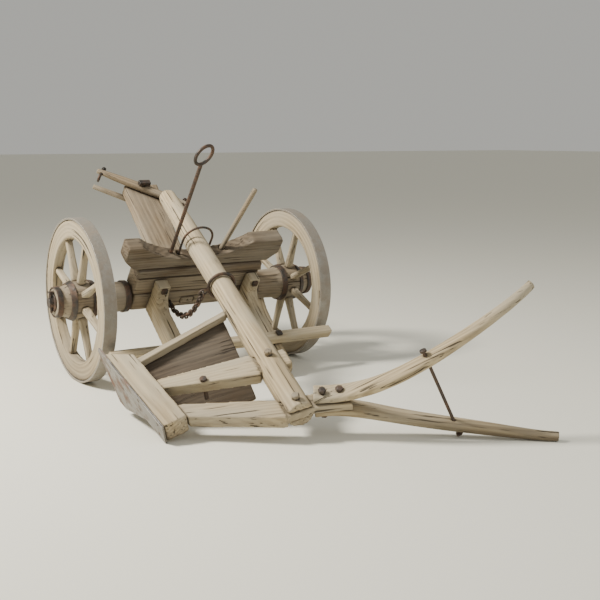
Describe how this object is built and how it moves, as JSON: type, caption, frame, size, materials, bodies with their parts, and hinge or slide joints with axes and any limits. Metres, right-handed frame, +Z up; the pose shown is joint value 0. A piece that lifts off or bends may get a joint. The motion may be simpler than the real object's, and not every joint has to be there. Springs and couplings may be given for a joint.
{
  "type": "walking plow with forecarriage",
  "caption": "Old wooden walking plow at rest: two-wheeled forecarriage tipped back on its arms, round beam on its bolster, plow body lying on its side with two handles.",
  "frame": {"origin": "on the ground, straight under the middle of the axle between the two wheels", "axes": "+X right along the axle, +Y forward (the way the horses walk), +Z up"},
  "size_m": [1.3061, 2.4245, 1.0067],
  "materials": {
    "pale_wood": "weathered, bare",
    "dark_wood": "weathered, darker",
    "wheel_wood": "weathered, bare",
    "board_wood": "soil-polished",
    "dark_iron": "forged, rust-brown",
    "tyre_iron": "worn wrought iron",
    "worn_steel": "soil-scoured"
  },
  "bodies": {
    "carriage": {"arm_bolts": "dark_iron", "axle_beam": "dark_wood", "axle_bed": "dark_wood", "axle_bolts": "dark_iron", "bolster": "dark_wood", "chain_staple": "dark_iron", "crossbar": "pale_wood", "crossbar_bolts": "dark_iron", "draft_chain": "dark_iron", "evener_pin": "dark_iron", "left_arm": "pale_wood", "left_linchpin": "dark_iron", "left_spindle": "dark_iron", "left_washers": "dark_iron", "right_arm": "pale_wood", "right_linchpin": "dark_iron", "right_spindle": "dark_iron", "right_washers": "dark_iron", "stake": "dark_wood", "tongue": "dark_wood", "transom": "dark_wood"},
    "left_wheel": {"left_axle_box": "dark_iron", "left_felloes": "wheel_wood", "left_nave": "wheel_wood", "left_nave_bands": "dark_iron", "left_spokes": "wheel_wood", "left_tyre": "tyre_iron"},
    "right_wheel": {"right_axle_box": "dark_iron", "right_felloes": "wheel_wood", "right_nave": "wheel_wood", "right_nave_bands": "dark_iron", "right_spokes": "wheel_wood", "right_tyre": "tyre_iron"},
    "evener_bars": {"evener": "dark_wood", "lower_evener": "dark_wood", "evener_irons": "dark_iron"},
    "ringed_rod": {"rein_rod": "dark_iron"},
    "keeper": {"beam_keeper": "dark_iron"},
    "ring": {"draft_ring": "dark_iron"},
    "plow": {"beam": "pale_wood", "beam_pegs": "pale_wood", "breast_post": "pale_wood", "front_standard": "pale_wood", "handle_bolts": "dark_iron", "handle_rung": "dark_iron", "left_handle": "pale_wood", "moldboard": "board_wood", "moldboard_strut": "dark_iron", "rear_post": "pale_wood", "right_handle": "pale_wood", "ring_pin": "dark_iron", "share": "worn_steel", "slade_nails": "dark_iron", "slade_plate": "worn_steel", "sole": "pale_wood"}
  },
  "joints": [
    {"name": "left_wheel_spin", "type": "hinge", "parent": "carriage", "child": "left_wheel", "pos_m": [-0.515, 0, 0.35], "axis": [1, 0, 0], "continuous": true},
    {"name": "right_wheel_spin", "type": "hinge", "parent": "carriage", "child": "right_wheel", "pos_m": [0.515, 0, 0.35], "axis": [1, 0, 0], "continuous": true},
    {"name": "evener_swivel", "type": "hinge", "parent": "carriage", "child": "evener_bars", "pos_m": [0.012, 0.49985, 0.78903], "axis": [0, -0.612, 0.7909], "range_deg": [-4, 66]},
    {"name": "rein_rod_turn", "type": "hinge", "parent": "carriage", "child": "ringed_rod", "pos_m": [-0.15, -0.18707, 0.60481], "axis": [0, -0.612, 0.7909], "continuous": true},
    {"name": "plow_steer", "type": "hinge", "parent": "carriage", "child": "keeper", "pos_m": [-0.0392, -0.11296, 0.55667], "axis": [0, 0, 1], "range_deg": [-3, 3], "deforming": ["draft_chain"]},
    {"name": "plow_lift", "type": "hinge", "parent": "keeper", "child": "ring", "pos_m": [-0.0392, -0.11296, 0.55667], "axis": [-0.9895, 0.1444, 0], "range_deg": [0, 18.85]},
    {"name": "plow_roll", "type": "hinge", "parent": "ring", "child": "plow", "pos_m": [-0.042, -0.13216, 0.60058], "axis": [-0.132, -0.9051, -0.4042], "range_deg": [0, 74]}
  ],
  "couplings": [
    {"joint": "plow_lift", "follows": "plow_roll", "ratio": 0.2541}
  ]
}
